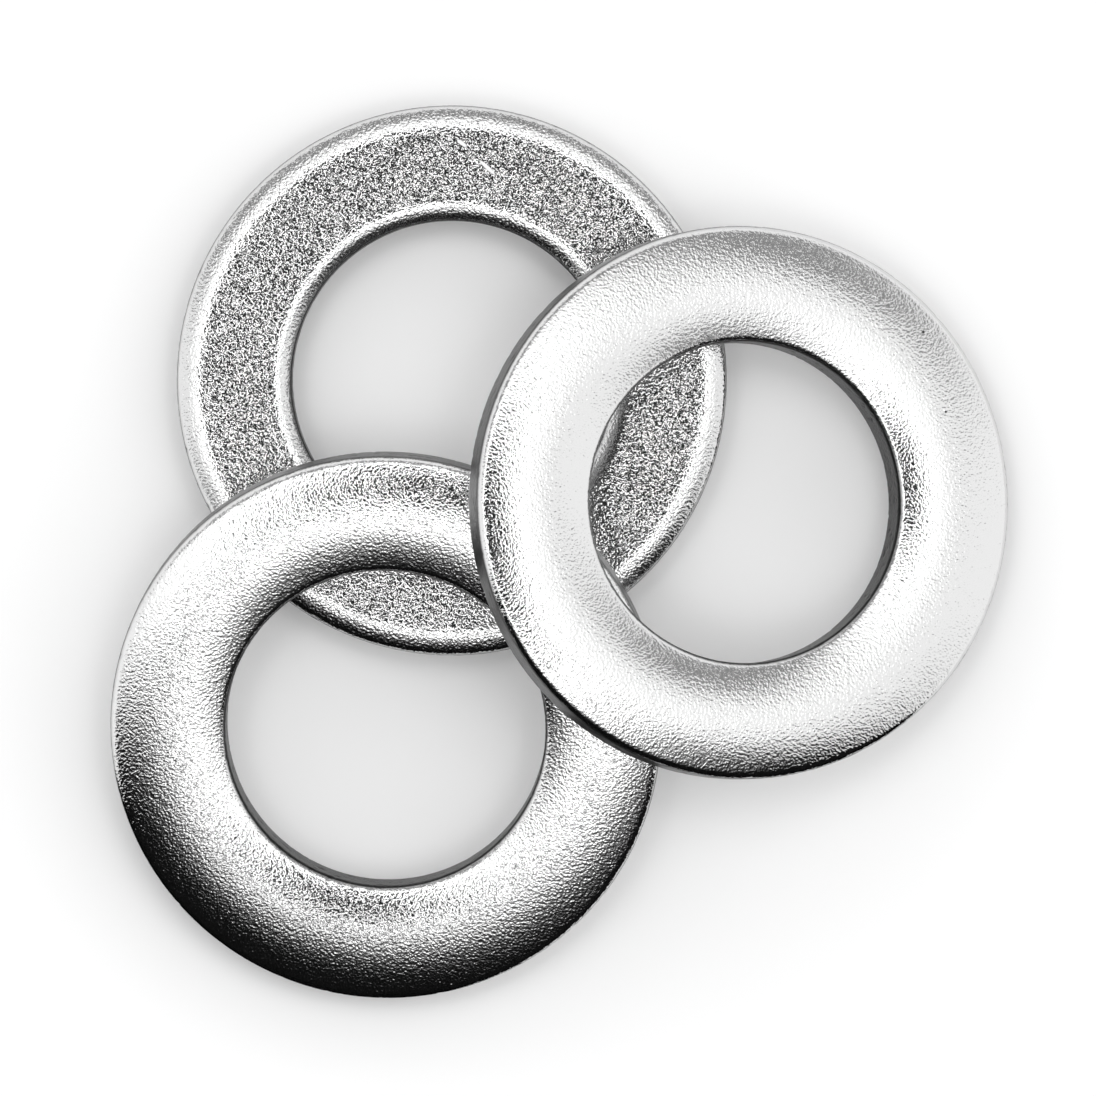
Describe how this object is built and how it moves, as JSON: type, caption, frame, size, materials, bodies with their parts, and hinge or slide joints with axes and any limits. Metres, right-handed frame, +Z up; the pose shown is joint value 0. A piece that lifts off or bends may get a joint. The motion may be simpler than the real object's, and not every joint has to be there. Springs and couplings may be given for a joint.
{
  "type": "heap of flat washers",
  "caption": "Plain steel flat washers with rounded edges in a loose heap, one lying flat and the others leaning on it, to spread the load of a bolt head or nut.",
  "frame": {"origin": "middle of the heap's footprint, on the surface that it lies on", "axes": "+Z up, away from the surface; +X towards the top washer's low side; +Y towards the bottom washer"},
  "size_m": [0.049, 0.0488, 0.0105],
  "materials": {
    "bottom_steel": "tumbled, fine matte grain",
    "middle_steel": "tumbled, fine matte grain",
    "top_steel": "tumbled, fine matte grain"
  },
  "bodies": {
    "root": {"bottom_washer": "bottom_steel", "middle_washer": "middle_steel", "top_washer": "top_steel"}
  },
  "joints": []
}
